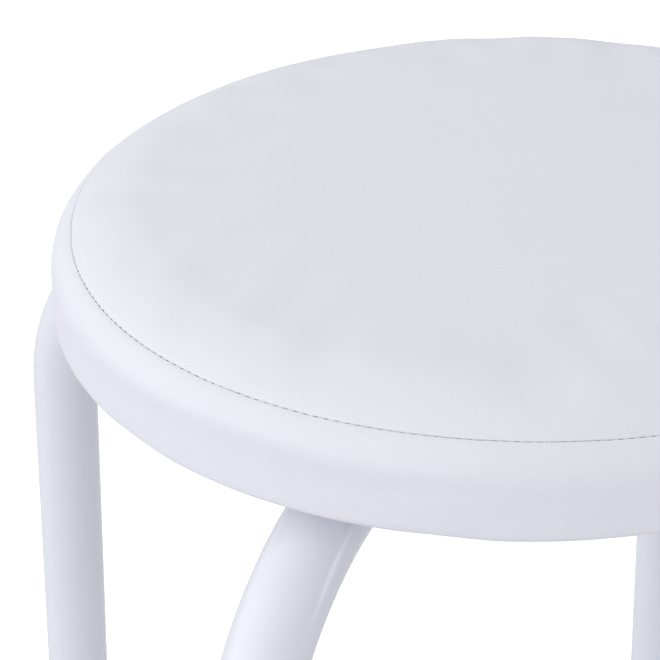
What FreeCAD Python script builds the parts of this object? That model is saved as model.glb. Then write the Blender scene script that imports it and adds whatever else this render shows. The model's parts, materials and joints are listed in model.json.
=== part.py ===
import FreeCAD, Part
import math
import os
import re
import Sketcher

# Stacking stool: a padded round seat on two crossing arches of bent steel tube.
# Row frame: origin on the floor under the seat's centre, +Z up, +X right, front at -Y.
# Lengths are in millimetres and angles in degrees. "Radial" sizes are measured from the seat's axis.
SIZES = [
    # the whole stool
    ("stool_height", 445.0, "floor to the top of the seat's crown"),
    ("first_azimuth", 45.0, "direction of the rear right leg, seen from above"),
    # the seat's outline
    ("seam_radius", 148.0, "radius of the sewn seam round the top panel"),
    ("crown_rise", 5.0, "top of the crown above the inner end of the shoulder"),
    ("shoulder_rise", 10.0, "inner end of the shoulder above the seam"),
    ("shoulder_width", 25.0, "shoulder's radial width, from the seam inwards"),
    ("band_radius", 155.0, "seat's widest radius, on the side band"),
    ("band_widest_drop", 12.5, "seam down to the end of the band's bulge, upright from there"),
    ("band_drop", 29.0, "seam down to the seat's underside"),
    ("band_edge_radius", 2.0, "rounding of the seat's lower edge"),
    ("cover_thickness", 1.0, "vinyl cover with its backing"),
    ("seam_allowance", 8.0, "depth of the two sewn edges inside the seam"),
    ("wrap_radius", 115.0, "inner edge of the cover under the board"),
    # the seat's inside
    ("board_thickness", 12.0, "plywood board"),
    ("lining_gap", 0.1, "clearance between the cover and what it wraps"),
    ("dust_cover_thickness", 0.6, "fleece under the seat"),
    ("dust_cover_radius", 134.0, "edge of the fleece"),
    ("dust_cover_step", 3.0, "radial width of its step over the cover's edge"),
    # staples
    ("staple_width", 10.0, "outside width of a staple's crown"),
    ("staple_leg", 8.0, "staple's leg, below its crown"),
    ("staple_wire_width", 1.2, "staple wire, across the crown"),
    ("staple_wire_height", 0.6, "staple wire, thickness"),
    ("staple_clearance", 0.05, "slot round the staple wire"),
    ("cover_staple_radius", 121.0, "ring of staples that hold the cover"),
    ("dust_staple_radius", 129.0, "ring of staples that hold the fleece"),
    ("cover_staple_count", 32.0, "staples in the cover's ring"),
    ("dust_staple_count", 20.0, "staples in the fleece's ring"),
    # the leg tubes
    ("tube_radius", 12.7, "outside radius of the leg tube"),
    ("tube_wall", 1.2, "wall of the leg tube"),
    ("tube_clearance", 0.2, "air between the fleece's edge and the tubes"),
    ("leg_reach", 191.5, "tube's axis where its bend ends, from the seat's axis"),
    ("bend_radius", 80.0, "bend of the tube's axis"),
    ("leg_splay", 3.0, "lean of the straight leg from the vertical"),
    ("root_gap", 0.3, "gap at the coped ends, filled by the weld"),
    ("weld_radius", 3.0, "radius of the weld bead"),
    ("weld_top", 6.0, "top of the weld above the tube's axis"),
    # the screws, with their nuts, spacers and washers
    ("screw_reach", 80.0, "screws, from the seat's axis"),
    ("screw_radius", 3.0, "shank of the seat screw"),
    ("screw_length", 40.0, "shank's length under the head"),
    ("head_radius", 6.3, "button head"),
    ("head_height", 3.3, "button head"),
    ("head_rim", 0.8, "straight rim of the button head"),
    ("head_flat_radius", 2.8, "flat end of the button head"),
    ("head_dome_radius", 4.6, "arc between the head's rim and its flat end"),
    ("socket_width", 4.0, "hexagon socket, across its flats"),
    ("socket_depth", 2.0, "hexagon socket"),
    ("hole_clearance", 0.3, "screw in the tube, spacer and washer"),
    ("thread_clearance", 0.05, "screw in its nut"),
    ("nut_flange_radius", 9.5, "flange of the tee nut"),
    ("nut_flange_thickness", 1.5, "flange of the tee nut"),
    ("nut_barrel_radius", 3.9, "barrel of the tee nut"),
    ("nut_length", 10.0, "tee nut from flange to barrel end"),
    ("nut_clearance", 0.15, "tee nut in the board"),
    ("spacer_radius", 10.0, "saddle spacer between tube and board"),
    ("washer_radius", 8.0, "saddle washer under the screw's head"),
    ("washer_crest", 1.2, "washer's thickness on the tube's lowest line"),
    ("saddle_clearance", 0.05, "spacer and washer on the tube"),
    # the feet
    ("cap_wall", 2.3, "foot cap's wall at its mouth"),
    ("cap_base_radius", 16.5, "foot cap's radius near the floor"),
    ("cap_grip", 26.0, "cap's mouth above the tube's end"),
    ("cap_base_height", 9.0, "height of the cap's wider base above the tube's end"),
    ("cap_sole", 5.0, "rubber under the disc"),
    ("cap_edge", 1.2, "rounding of the cap's mouth"),
    ("cap_clearance", 0.05, "cap on the tube"),
    ("disc_thickness", 1.5, "steel disc inside the cap"),
    ("disc_clearance", 0.3, "disc in the cap's bore"),
]
LEGS = ["rear_right", "rear_left", "front_left", "front_right"]
# shares of other sizes
BEAD_EASE = 1.1  # arc round the weld's side, over the crossing ellipse's own radius there
CLEAR_OF_CROSSING = 4.0  # reach of the cutters round a weld, in tube radii

# Lengths that follow from the driving sizes, as expressions on the sheet.
SEAM_Z = "(stool_height - crown_rise - shoulder_rise)"
UNDERSIDE_Z = f"({SEAM_Z} - band_drop)"
BOARD_BOTTOM = f"({UNDERSIDE_Z} + cover_thickness)"
BOARD_TOP = f"({BOARD_BOTTOM} + board_thickness)"
WIDEST_Z = f"({SEAM_Z} - band_widest_drop)"
FLEECE_Z = f"({UNDERSIDE_Z} - dust_cover_thickness)"
TUBE_Z = f"({FLEECE_Z} - tube_clearance - tube_radius)"
HEAD_Z = f"({TUBE_Z} - tube_radius - washer_crest)"
# crown: an arc on the seat's axis; shoulder: an arc tangent to it that ends at the seam
CROWN_REACH = "(seam_radius - shoulder_width)"
CROWN_ARC = f"(({CROWN_REACH}^2 + crown_rise^2) / (2 * crown_rise))"
CROWN_SIN = f"({CROWN_REACH} / {CROWN_ARC})"
CROWN_COS = f"(({CROWN_ARC} - crown_rise) / {CROWN_ARC})"
SHOULDER_ARC = (
    "((shoulder_width^2 + shoulder_rise^2)"
    f" / (2 * (shoulder_rise * {CROWN_COS} - shoulder_width * {CROWN_SIN})))"
)
SHOULDER_X = f"({CROWN_REACH} - {SHOULDER_ARC} * {CROWN_SIN})"
SHOULDER_Z = f"({SEAM_Z} + shoulder_rise - {SHOULDER_ARC} * {CROWN_COS})"
# band: an arc from the seam, upright where it gets to the full width
BAND_WIDTH = "(band_radius - seam_radius)"
BAND_ARC = f"(({BAND_WIDTH}^2 + band_widest_drop^2) / (2 * {BAND_WIDTH}))"
BAND_X = f"(band_radius - {BAND_ARC})"
# what the cover wraps, and the upright edge of the board and the foam
LAYER = "(cover_thickness + lining_gap)"
BOARD_REACH = f"(band_radius - {LAYER})"
# leg: the bend turns the tube's axis from level to the splayed leg
BEND_START = "(leg_reach - bend_radius * cos(leg_splay * 1deg))"
BEND_END_Z = f"({TUBE_Z} - bend_radius * (1 - sin(leg_splay * 1deg)))"
FOOT_Z = "((disc_thickness + cap_sole) * cos(leg_splay * 1deg))"
FOOT_X = f"(leg_reach + ({BEND_END_Z} - {FOOT_Z}) * tan(leg_splay * 1deg))"

V = FreeCAD.Vector
doc = FreeCAD.newDocument("stacking_stool")
sheet = doc.addObject("Spreadsheet::Sheet", "Sizes")
for row, (alias, amount, meaning) in enumerate(SIZES, 1):
    sheet.set(f"A{row}", str(amount))
    sheet.setAlias(f"A{row}", alias)
    sheet.set(f"B{row}", meaning)
doc.recompute()
ALIASES = re.compile(r"\b(" + "|".join(name for name, _, _ in SIZES) + r")\b")


def on_sheet(expression):
    """The expression with each size read from the sheet."""
    return ALIASES.sub(r"Sizes.\1", expression)


def value(expression):
    return float(sheet.evalExpression(on_sheet(expression)))


def bind(thing, **expressions):
    for name, expression in expressions.items():
        thing.setExpression(name, on_sheet(expression))


# Bodies, sketches and features


def new_body(label, azimuth="first_azimuth"):
    body = doc.addObject("PartDesign::Body", label)
    body.Label = label
    body.AllowCompound = True
    body.Placement.Rotation = FreeCAD.Rotation(V(0, 0, 1), value(azimuth))
    return body


def origin_part(body, role):
    return next(o for o in body.Origin.OriginFeatures if o.Role == role)


def sketch_on(body, name, role, offset=None):
    sketch = body.newObject("Sketcher::SketchObject", name)
    sketch.AttachmentSupport = (origin_part(body, role), [""])
    sketch.MapMode = "FlatFace"
    if offset:
        sketch.setExpression("AttachmentOffset.Base.z", on_sheet(offset))
    doc.recompute()
    return sketch


def fix_point(sketch, index, end, x, y):
    """Holds a point of a sketch at two expressions, measured from its origin."""
    for kind, axis, expression in (("DistanceX", -2, x), ("DistanceY", -1, y)):
        if expression == "0":
            sketch.addConstraint(Sketcher.Constraint("PointOnObject", index, end, axis))
            continue
        size = Sketcher.Constraint(kind, -1, 1, index, end, value(expression))
        number = sketch.addConstraint(size)
        sketch.setExpression(f"Constraints[{number}]", on_sheet(expression))


def arc_through(start, end, radius, side):
    """The shorter arc of that radius, which bulges to the left (1) or right (-1) of its chord."""
    chord = end - start
    left = V(-chord.y, chord.x, 0).normalize() * side
    half = chord.Length / 2
    centre = (start + end) / 2 - left * math.sqrt(radius**2 - half**2)
    return Part.Arc(start, centre + left * radius, end)


def path(sketch, corners, closed=True):
    """Lines and arcs through corners (x, y) or (x, y, radius, side), where the arc ends at that corner."""
    points = [V(value(c[0]), value(c[1]), 0) for c in corners]
    count = len(corners) if closed else len(corners) - 1
    for i in range(count):
        j = (i + 1) % len(corners)
        if len(corners[j]) == 2:
            sketch.addGeometry(Part.LineSegment(points[i], points[j]), False)
            continue
        radius, side = corners[j][2:]
        sketch.addGeometry(arc_through(points[i], points[j], value(radius), side), False)
        held = sketch.addConstraint(Sketcher.Constraint("Radius", i, value(radius)))
        sketch.setExpression(f"Constraints[{held}]", on_sheet(radius))
    ends = []
    for i, point in enumerate(points):
        before, after = i - 1 if i else count - 1, i
        ends.append((before, 2 if distance(sketch, before, 2, point) < 1e-6 else 1))
        if closed or 0 < i < count:
            start = 1 if distance(sketch, after, 1, point) < 1e-6 else 2
            sketch.addConstraint(Sketcher.Constraint("Coincident", *ends[i], after, start))
    if not closed:
        ends[0] = (0, 1)
    for end, corner in zip(ends, corners):
        fix_point(sketch, *end, *corner[:2])
    return sketch


def distance(sketch, index, end, point):
    return (sketch.getPoint(index, end) - point).Length


def circle(sketch, x, y, radius):
    place = V(value(x), value(y), 0)
    drawn = sketch.addGeometry(Part.Circle(place, V(0, 0, 1), value(radius)), False)
    held = sketch.addConstraint(Sketcher.Constraint("Radius", drawn, value(radius)))
    sketch.setExpression(f"Constraints[{held}]", on_sheet(radius))
    fix_point(sketch, drawn, 3, x, y)
    return sketch


def feature(body, kind, name, sketch):
    made = body.newObject("PartDesign::" + kind, name)
    made.Profile = sketch
    return made


def finished(body, made):
    """Makes the feature the body's last one and recomputes it."""
    body.Tip = made
    doc.recompute()
    return made


def turned(body, corners, name="Turn", axis_x=None):
    """Turns an outline in the XZ plane about the Z axis, or about an upright line at axis_x."""
    sketch = path(sketch_on(body, name + "Outline", "XZ_Plane"), corners)
    made = feature(body, "Revolution", name, sketch)
    made.ReferenceAxis = (sketch, ["V_Axis"])
    if axis_x:
        x = value(axis_x)
        line = sketch.addGeometry(Part.LineSegment(V(x, 1, 0), V(x, 2, 0)), True)
        sketch.addConstraint(Sketcher.Constraint("Vertical", line))
        fix_point(sketch, line, 1, axis_x, "1")
        made.ReferenceAxis = (sketch, ["Axis0"])
    made.Angle = 360
    return finished(body, made)


def padded(body, sketch, length, name="Pad"):
    made = feature(body, "Pad", name, sketch)
    bind(made, Length=length)
    return finished(body, made)


def cut(body, sketch, name, length=None, both_ways=False, turned_round=False):
    """Cuts a sketch out of the body, and stops if that takes nothing away."""
    before = body.Shape.Volume
    made = feature(body, "Pocket", name, sketch)
    made.Reversed = turned_round
    if length:
        bind(made, Length=length)
    else:
        made.Type = "ThroughAll"
    if both_ways:
        made.SideType = "Symmetric"
    finished(body, made)
    if before - body.Shape.Volume < 1e-3:
        raise ValueError(f"{body.Label}: {name} cuts nothing")
    return made


def ring_of(body, features, count, name="Ring"):
    """Repeats features round the seat's axis."""
    made = body.newObject("PartDesign::PolarPattern", name)
    made.Originals = features
    made.Axis = (origin_part(body, "Z_Axis"), [""])
    made.Angle = 360
    bind(made, Occurrences=count)
    return finished(body, made)


# The seat


def top_panel():
    """Round panel of the cover: crown, shoulder and the edge that is sewn to the band."""
    inner_reach = f"{CROWN_REACH} * (1 - cover_thickness / {CROWN_ARC})"
    inner_z = f"{SEAM_Z} + shoulder_rise - cover_thickness * {CROWN_COS}"
    edge_x = "seam_radius - cover_thickness"
    edge_z = f"{SHOULDER_Z} + sqrt(({SHOULDER_ARC} - cover_thickness)^2 - ({edge_x} - {SHOULDER_X})^2)"
    sewn_z = f"{SEAM_Z} - seam_allowance"
    body = new_body("top_panel")
    turned(
        body,
        [
            ("0", "stool_height"),
            (CROWN_REACH, f"{SEAM_Z} + shoulder_rise", CROWN_ARC, 1),
            ("seam_radius", SEAM_Z, SHOULDER_ARC, 1),
            ("seam_radius", sewn_z),
            (edge_x, sewn_z),
            (edge_x, edge_z),
            (inner_reach, inner_z, f"{SHOULDER_ARC} - cover_thickness", -1),
            ("0", "stool_height - cover_thickness", f"{CROWN_ARC} - cover_thickness", -1),
        ],
    )
    return body


def side_band():
    """Strip of the cover round the seat: sewn edge, bulging side, lower edge and wrap under the board."""
    sewn_x = "seam_radius + lining_gap"
    inner_x = f"{sewn_x} + cover_thickness"
    inner_arc = f"{BAND_ARC} - cover_thickness"
    start_z = f"{WIDEST_Z} + sqrt({BAND_ARC}^2 - ({sewn_x} - {BAND_X})^2)"
    inner_z = f"{WIDEST_Z} + sqrt(({inner_arc})^2 - ({inner_x} - {BAND_X})^2)"
    sewn_z = f"{SEAM_Z} - seam_allowance"
    edge_z = f"{UNDERSIDE_Z} + band_edge_radius"
    body = new_body("side_band")
    turned(
        body,
        [
            (sewn_x, start_z),
            ("band_radius", WIDEST_Z, BAND_ARC, 1),
            ("band_radius", edge_z),
            ("band_radius - band_edge_radius", UNDERSIDE_Z, "band_edge_radius", 1),
            ("wrap_radius", UNDERSIDE_Z),
            ("wrap_radius", BOARD_BOTTOM),
            ("band_radius - band_edge_radius", BOARD_BOTTOM),
            ("band_radius - cover_thickness", edge_z, "band_edge_radius - cover_thickness", -1),
            ("band_radius - cover_thickness", WIDEST_Z),
            (inner_x, inner_z, inner_arc, -1),
            (inner_x, sewn_z),
            (sewn_x, sewn_z),
        ],
    )
    staple_slots(body, "CoverStaple", UNDERSIDE_Z, "cover_staple_radius", "cover_staple_count")
    staple_slots(body, "FleeceStaple", FLEECE_Z, "dust_staple_radius", "dust_staple_count")
    return body


def seat_foam():
    """Foam pad on the board, cut back where the sewn edges hang."""
    inner_reach = f"{CROWN_REACH} * (1 - {LAYER} / {CROWN_ARC})"
    inner_z = f"{SEAM_Z} + shoulder_rise - {LAYER} * {CROWN_COS}"
    edge_x = f"seam_radius - {LAYER}"
    edge_z = f"{SHOULDER_Z} + sqrt(({SHOULDER_ARC} - {LAYER})^2 - ({edge_x} - {SHOULDER_X})^2)"
    band_arc = f"{BAND_ARC} - {LAYER}"
    notch_z = f"{SEAM_Z} - seam_allowance - lining_gap"
    notch_x = f"{BAND_X} + sqrt(({band_arc})^2 - ({notch_z} - {WIDEST_Z})^2)"
    body = new_body("seat_foam")
    turned(
        body,
        [
            ("0", f"stool_height - {LAYER}"),
            (inner_reach, inner_z, f"{CROWN_ARC} - {LAYER}", 1),
            (edge_x, edge_z, f"{SHOULDER_ARC} - {LAYER}", 1),
            (edge_x, notch_z),
            (notch_x, notch_z),
            (BOARD_REACH, WIDEST_Z, band_arc, 1),
            (BOARD_REACH, BOARD_TOP),
            ("0", BOARD_TOP),
        ],
    )
    return body


def seat_board():
    """Plywood board with rounded lower edge, four stepped nut holes and the staples' slots."""
    rounding = "(band_edge_radius - cover_thickness)"
    body = new_body("seat_board")
    turned(
        body,
        [
            ("0", BOARD_TOP),
            (BOARD_REACH, BOARD_TOP),
            (BOARD_REACH, f"{BOARD_BOTTOM} + {rounding}"),
            (f"{BOARD_REACH} - {rounding}", BOARD_BOTTOM, rounding, 1),
            ("0", BOARD_BOTTOM),
        ],
    )
    barrel = sketch_on(body, "BarrelHole", "XY_Plane", BOARD_TOP)
    circle(barrel, "screw_reach", "0", "nut_barrel_radius + nut_clearance")
    through = cut(body, barrel, "Barrel", "board_thickness")
    flange = sketch_on(body, "FlangeSeat", "XY_Plane", BOARD_TOP)
    circle(flange, "screw_reach", "0", "nut_flange_radius + nut_clearance")
    seat = cut(body, flange, "Flange", "nut_flange_thickness")
    ring_of(body, [through, seat], str(len(LEGS)), "NutHoles")
    staple_slots(body, "CoverStaple", UNDERSIDE_Z, "cover_staple_radius", "cover_staple_count")
    staple_slots(body, "FleeceStaple", FLEECE_Z, "dust_staple_radius", "dust_staple_count")
    return body


def dust_cover():
    """Fleece under the board, stepped over the edge of the wrapped cover, with the screws' holes."""
    inner = "wrap_radius - lining_gap"
    body = new_body("dust_cover")
    turned(
        body,
        [
            ("0", BOARD_BOTTOM),
            (f"{inner} - dust_cover_step", BOARD_BOTTOM),
            (inner, UNDERSIDE_Z),
            ("dust_cover_radius", UNDERSIDE_Z),
            ("dust_cover_radius", FLEECE_Z),
            (inner, FLEECE_Z),
            (f"{inner} - dust_cover_step", f"{BOARD_BOTTOM} - dust_cover_thickness"),
            ("0", f"{BOARD_BOTTOM} - dust_cover_thickness"),
        ],
    )
    hole = sketch_on(body, "ScrewHole", "XY_Plane", BOARD_BOTTOM)
    circle(hole, "screw_reach", "0", "screw_radius + hole_clearance")
    made = cut(body, hole, "Screw", "cover_thickness + dust_cover_thickness")
    ring_of(body, [made], str(len(LEGS)), "ScrewHoles")
    staple_slots(body, "FleeceStaple", FLEECE_Z, "dust_staple_radius", "dust_staple_count")
    return body


# Staples: each ring starts half a step away from the legs


def staple_outline(body, name, crown_z, radius, clearance):
    """U of a staple in an upright plane, with the outer side of its crown facing down."""
    wire = "staple_wire_height"
    reach = f"staple_width / 2 + {clearance}"
    leg_inside = f"staple_width / 2 - {wire} - {clearance}"
    tip = f"{crown_z} + staple_leg + {clearance}"
    under = f"{crown_z} + {wire} + {clearance}"
    low = f"{crown_z} - {clearance}"
    corners = [
        (f"-({reach})", low),
        (reach, low),
        (reach, tip),
        (leg_inside, tip),
        (leg_inside, under),
        (f"-({leg_inside})", under),
        (f"-({leg_inside})", tip),
        (f"-({reach})", tip),
    ]
    offset = f"{radius} - staple_wire_width / 2 - {clearance}"
    return path(sketch_on(body, name, "YZ_Plane", offset), corners)


def staple_crown(base_z, flush):
    return base_z if flush else f"({base_z} - staple_wire_height)"


def staple_slots(body, name, base_z, radius, count):
    """Slots for one ring of staples in a layer that they hold."""
    crown_z = staple_crown(base_z, name == "CoverStaple")
    outline = staple_outline(body, name + "Slot", crown_z, radius, "staple_clearance")
    bind_turn(outline, count)
    slot = cut(
        body, outline, name + "Cut", "staple_wire_width + 2 * staple_clearance", turned_round=True
    )
    ring_of(body, [slot], count, name + "Ring")


def bind_turn(sketch, count):
    """Turns an upright sketch about the seat's axis, half a step of its ring."""
    offset = sketch.AttachmentOffset.Base.z
    angle = 180 / value(count)
    turn = FreeCAD.Rotation(V(0, 1, 0), angle)
    sketch.setExpression("AttachmentOffset.Base.z", None)
    sketch.AttachmentOffset = FreeCAD.Placement(turn.multVec(V(0, 0, offset)), turn)
    doc.recompute()


def staples(label, base_z, radius, count, flush):
    """One ring of staples, as separate solids."""
    body = new_body(label)
    outline = staple_outline(body, "Wire", staple_crown(base_z, flush), radius, "0 * staple_clearance")
    bind_turn(outline, count)
    one = padded(body, outline, "staple_wire_width")
    ring_of(body, [one], count)
    return body


# The leg frame


def leg_tube(body):
    """Tube from the seat's axis out along X, round its bend and down to the foot."""
    spine = sketch_on(body, "Spine", "XZ_Plane")
    corners = [
        ("0", TUBE_Z),
        (BEND_START, TUBE_Z),
        ("leg_reach", BEND_END_Z, "bend_radius", 1),
        (FOOT_X, FOOT_Z),
    ]
    path(spine, corners, closed=False)
    section = sketch_on(body, "Section", "YZ_Plane")
    circle(section, "0", TUBE_Z, "tube_radius")
    circle(section, "0", TUBE_Z, "tube_radius - tube_wall")
    tube = feature(body, "AdditivePipe", "Tube", section)
    tube.Spine = spine
    tube.Transition = "Transformed"
    finished(body, tube)
    hole = sketch_on(body, "ScrewHole", "XY_Plane", f"{TUBE_Z} + 2 * tube_radius")
    circle(hole, "screw_reach", "0", "screw_radius + hole_clearance")
    bored = cut(body, hole, "Screw", "4 * tube_radius")
    return tube, bored


def through_arch():
    """The whole arch, from the front left foot to the rear right foot."""
    body = new_body("through_arch")
    halves = leg_tube(body)
    made = body.newObject("PartDesign::Mirrored", "OtherHalf")
    made.Originals = list(halves)
    made.MirrorPlane = (origin_part(body, "YZ_Plane"), [""])
    finished(body, made)
    return body


def half_arch(label, azimuth):
    """An arm of the crossing arch, coped to fit the side of the through arch."""
    body = new_body(label, azimuth)
    leg_tube(body)
    cope = sketch_on(body, "Cope", "XZ_Plane")
    circle(cope, "0", TUBE_Z, "tube_radius + root_gap")
    cut(body, cope, "CopeCut", both_ways=True)
    return body


def quarter_bead(radius, bead, top):
    """Bead in the valley that faces +X between two crossing tubes, about their crossing point.

    The valley is half an ellipse in an upright plane. Two tangent arcs follow it: one round its
    side and a flatter one under the crossing.
    """
    reach = radius * math.sqrt(2)
    side = BEAD_EASE * radius**2 / reach
    middle = reach - side
    flat = (middle**2 + radius**2 - side**2) / (2 * (radius - side))
    turn_x = flat * middle / (flat - side)
    turn_z = radius - flat + flat * (flat - radius) / (flat - side)

    def under(angle):
        return V(flat * math.sin(angle), 0, flat - radius - flat * math.cos(angle))

    edge = math.asin(turn_x / flat)
    past = -math.asin(2 * bead / flat)
    start = V(turn_x, 0, turn_z)
    round_side = Part.Arc(start, V(reach, 0, 0), V(turn_x, 0, -turn_z))
    below = Part.Arc(under(edge), under((edge + past) / 2), under(past))
    line = Part.Wire([round_side.toShape(), below.toShape()])
    across = V(-turn_z, 0, turn_x - middle).normalize()
    shape = line.makePipe(Part.Face(Part.Wire([Part.makeCircle(bead, start, across)])))
    far = CLEAR_OF_CROSSING * radius
    for azimuth in (value("first_azimuth"), value("first_azimuth") + 90):
        along = FreeCAD.Rotation(V(0, 0, 1), azimuth).multVec(V(1, 0, 0))
        shape = shape.cut(Part.makeCylinder(radius, 2 * far, along * -far, along))
    corners = [V(0, 0, -far), V(far, -far, -far), V(far, far, -far), V(0, 0, -far)]
    wedge = Part.Face(Part.makePolygon(corners)).extrude(V(0, 0, far + top))
    return shape.common(wedge)


def weld_beads():
    """Four beads where the arms meet the through arch, left off on top, under the seat."""
    beads = []
    for quarter in range(len(LEGS)):
        bead = quarter_bead(value("tube_radius"), value("weld_radius"), value("weld_top"))
        bead.rotate(V(0, 0, 0), V(0, 0, 1), quarter * 360 / len(LEGS))
        beads.append(bead)
    made = doc.addObject("Part::Feature", "weld_beads")
    made.Label = "weld_beads"
    made.Shape = Part.makeCompound(beads)
    made.Placement.Base = V(0, 0, value(TUBE_Z))
    return made


# Fasteners, which stand on the arms at screw_reach


def tee_nuts():
    bore = "screw_reach + screw_radius + thread_clearance"
    seat_z = f"{BOARD_TOP} - nut_flange_thickness"
    end_z = f"{BOARD_TOP} - nut_length"
    body = new_body("tee_nuts")
    one = turned(
        body,
        [
            (bore, BOARD_TOP),
            ("screw_reach + nut_flange_radius", BOARD_TOP),
            ("screw_reach + nut_flange_radius", seat_z),
            ("screw_reach + nut_barrel_radius", seat_z),
            ("screw_reach + nut_barrel_radius", end_z),
            (bore, end_z),
        ],
        axis_x="screw_reach",
    )
    ring_of(body, [one], str(len(LEGS)))
    return body


def seat_screws():
    """Button head screws with hexagon sockets, up through tube, spacer and board."""
    rim_z = f"{HEAD_Z} - head_rim"
    base = f"{HEAD_Z} - head_height"
    body = new_body("seat_screws")
    one = turned(
        body,
        [
            ("screw_reach", f"{HEAD_Z} + screw_length"),
            ("screw_reach + screw_radius", f"{HEAD_Z} + screw_length"),
            ("screw_reach + screw_radius", HEAD_Z),
            ("screw_reach + head_radius", HEAD_Z),
            ("screw_reach + head_radius", rim_z),
            ("screw_reach + head_flat_radius", base, "head_dome_radius", 1),
            ("screw_reach", base),
        ],
        axis_x="screw_reach",
    )
    sketch = sketch_on(body, "Socket", "XY_Plane", base)
    corner = "(socket_width / sqrt(3))"
    hexagon = [
        (f"screw_reach + {corner}", "0"),
        (f"screw_reach + {corner} / 2", "socket_width / 2"),
        (f"screw_reach - {corner} / 2", "socket_width / 2"),
        (f"screw_reach - {corner}", "0"),
        (f"screw_reach - {corner} / 2", "-socket_width / 2"),
        (f"screw_reach + {corner} / 2", "-socket_width / 2"),
    ]
    path(sketch, hexagon)
    socket = cut(body, sketch, "SocketCut", "socket_depth", turned_round=True)
    ring_of(body, [one, socket], str(len(LEGS)))
    return body


def saddle(body, radius, low, high):
    """Upright disc on a screw, hollowed where it sits on the tube."""
    disc = sketch_on(body, "Disc", "XY_Plane", low)
    circle(disc, "screw_reach", "0", radius)
    circle(disc, "screw_reach", "0", "screw_radius + hole_clearance")
    one = padded(body, disc, f"{high} - {low}")
    groove = sketch_on(body, "Groove", "YZ_Plane")
    circle(groove, "0", TUBE_Z, "tube_radius + saddle_clearance")
    hollow = cut(body, groove, "GrooveCut", both_ways=True)
    return one, hollow


def saddle_spacer(label, azimuth):
    """Plastic spacer between the top of the tube and the fleece on the board."""
    body = new_body(label, azimuth)
    low = f"({TUBE_Z} + sqrt(tube_radius^2 - spacer_radius^2) - saddle_clearance)"
    saddle(body, "spacer_radius", low, f"({BOARD_BOTTOM} - dust_cover_thickness)")
    return body


def saddle_washers():
    """Steel washers under the screws' heads, hollowed to the tube."""
    body = new_body("saddle_washers")
    high = f"({TUBE_Z} - sqrt(tube_radius^2 - washer_radius^2) + saddle_clearance)"
    halves = saddle(body, "washer_radius", HEAD_Z, high)
    ring_of(body, list(halves), str(len(LEGS)))
    return body


# The feet: modelled along the leg's axis, from the end of the tube


def stand_on_leg(body, azimuth):
    lean = FreeCAD.Rotation(V(0, 1, 0), -value("leg_splay"))
    foot = FreeCAD.Placement(V(value(FOOT_X), 0, value(FOOT_Z)), lean)
    around = FreeCAD.Rotation(V(0, 0, 1), value(azimuth))
    body.Placement = FreeCAD.Placement(V(0, 0, 0), around) * foot
    doc.recompute()


def foot_disc(label, azimuth):
    """Steel disc between the tube's end and the rubber sole."""
    body = new_body(label, azimuth)
    flat = sketch_on(body, "Flat", "XY_Plane", "-disc_thickness")
    circle(flat, "0", "0", "tube_radius - disc_clearance")
    padded(body, flat, "disc_thickness")
    stand_on_leg(body, azimuth)
    return body


def foot_cap(label, azimuth):
    """Rubber ferrule: a cup on the tube, wider at its base, cut level by the floor."""
    bore = "tube_radius + cap_clearance"
    mouth = f"{bore} + cap_wall"
    below = "(disc_thickness + cap_sole + cap_base_radius)"
    body = new_body(label, azimuth)
    turned(
        body,
        [
            (bore, "-disc_thickness"),
            (bore, "cap_grip"),
            (f"{mouth} - cap_edge", "cap_grip"),
            (mouth, "cap_grip - cap_edge", "cap_edge", 1),
            ("cap_base_radius", "cap_base_height"),
            ("cap_base_radius", f"-{below}"),
            ("0", f"-{below}"),
            ("0", "-disc_thickness"),
        ],
    )
    edge = "2 * cap_base_radius"
    floor_z = f"{FOOT_Z} / cos(leg_splay * 1deg)"
    slope = f"{edge} * tan(leg_splay * 1deg)"
    corners = [
        (f"-{edge}", f"{slope} - {floor_z}"),
        (f"-{edge}", f"-2 * {below}"),
        (edge, f"-2 * {below}"),
        (edge, f"-{slope} - {floor_z}"),
    ]
    cut(body, path(sketch_on(body, "Floor", "XZ_Plane"), corners), "FloorCut", both_ways=True)
    stand_on_leg(body, azimuth)
    return body


def all_parts():
    parts = [
        top_panel(),
        side_band(),
        seat_foam(),
        seat_board(),
        dust_cover(),
        staples("cover_staples", UNDERSIDE_Z, "cover_staple_radius", "cover_staple_count", True),
        staples("dust_cover_staples", FLEECE_Z, "dust_staple_radius", "dust_staple_count", False),
        through_arch(),
        weld_beads(),
        tee_nuts(),
        seat_screws(),
        saddle_washers(),
    ]
    for number, leg in enumerate(LEGS):
        azimuth = f"first_azimuth + {number} * 360 / {len(LEGS)}"
        if leg in ("rear_left", "front_right"):
            parts.append(half_arch("half_arch_" + leg, azimuth))
        parts.append(saddle_spacer("saddle_spacer_" + leg, azimuth))
        parts.append(foot_cap("foot_cap_" + leg, azimuth))
        parts.append(foot_disc("foot_disc_" + leg, azimuth))
    return parts


def main():
    parts = all_parts()
    doc.recompute()
    for thing in doc.Objects:
        if {"Invalid", "Error"} & set(thing.State):
            raise ValueError(f"{thing.Label} did not build: {thing.State}")
    for part in parts:
        if part.Shape.isNull() or not part.Shape.isValid() or not part.Shape.Solids:
            raise ValueError(f"{part.Label} has no valid solid")
    os.makedirs("parts", exist_ok=True)
    for part in parts:
        part.Shape.exportStep(f"parts/{part.Label}.step")
        print(part.Label, len(part.Shape.Solids), round(part.Shape.Volume / 1000, 2), "cm3")


main()
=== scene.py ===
import json
import math

import bpy
import numpy as np
from mathutils import Matrix, Vector, noise


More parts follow.
